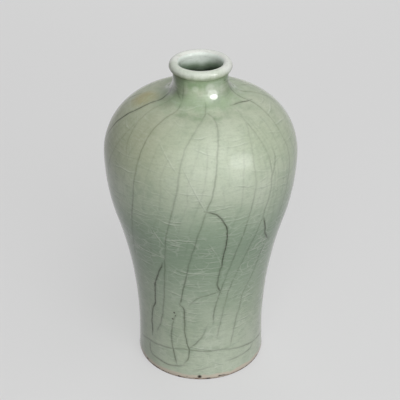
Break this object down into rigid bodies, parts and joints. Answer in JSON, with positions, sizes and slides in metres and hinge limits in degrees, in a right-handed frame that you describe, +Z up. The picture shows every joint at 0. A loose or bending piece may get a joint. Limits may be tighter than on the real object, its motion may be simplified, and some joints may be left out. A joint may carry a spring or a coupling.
{
  "type": "vase",
  "caption": "Glazed ceramic meiping vase with a rolled lip on a short narrow neck, broad rounded shoulders, a body tapering to a slender waist, and a bare clay foot ring.",
  "frame": {"origin": "centre of the foot ring, on the surface that the vase stands on", "axes": "+Z up the vase's axis, from the foot to the lip; the vase is round, so +X and +Y are any two level directions at right angles"},
  "size_m": [0.1492, 0.1492, 0.26],
  "materials": {
    "glaze": "gloss",
    "clay": "matte",
    "slip": "matte"
  },
  "bodies": {
    "root": {"foot_section": "clay", "waist_section": "clay", "shoulder_section": "clay", "neck_collar": "clay", "foot_seam_slip": "slip", "belly_seam_slip": "slip", "neck_seam_slip": "slip", "outer_glaze": "glaze", "inner_glaze": "glaze", "base_glaze": "glaze"}
  },
  "joints": []
}
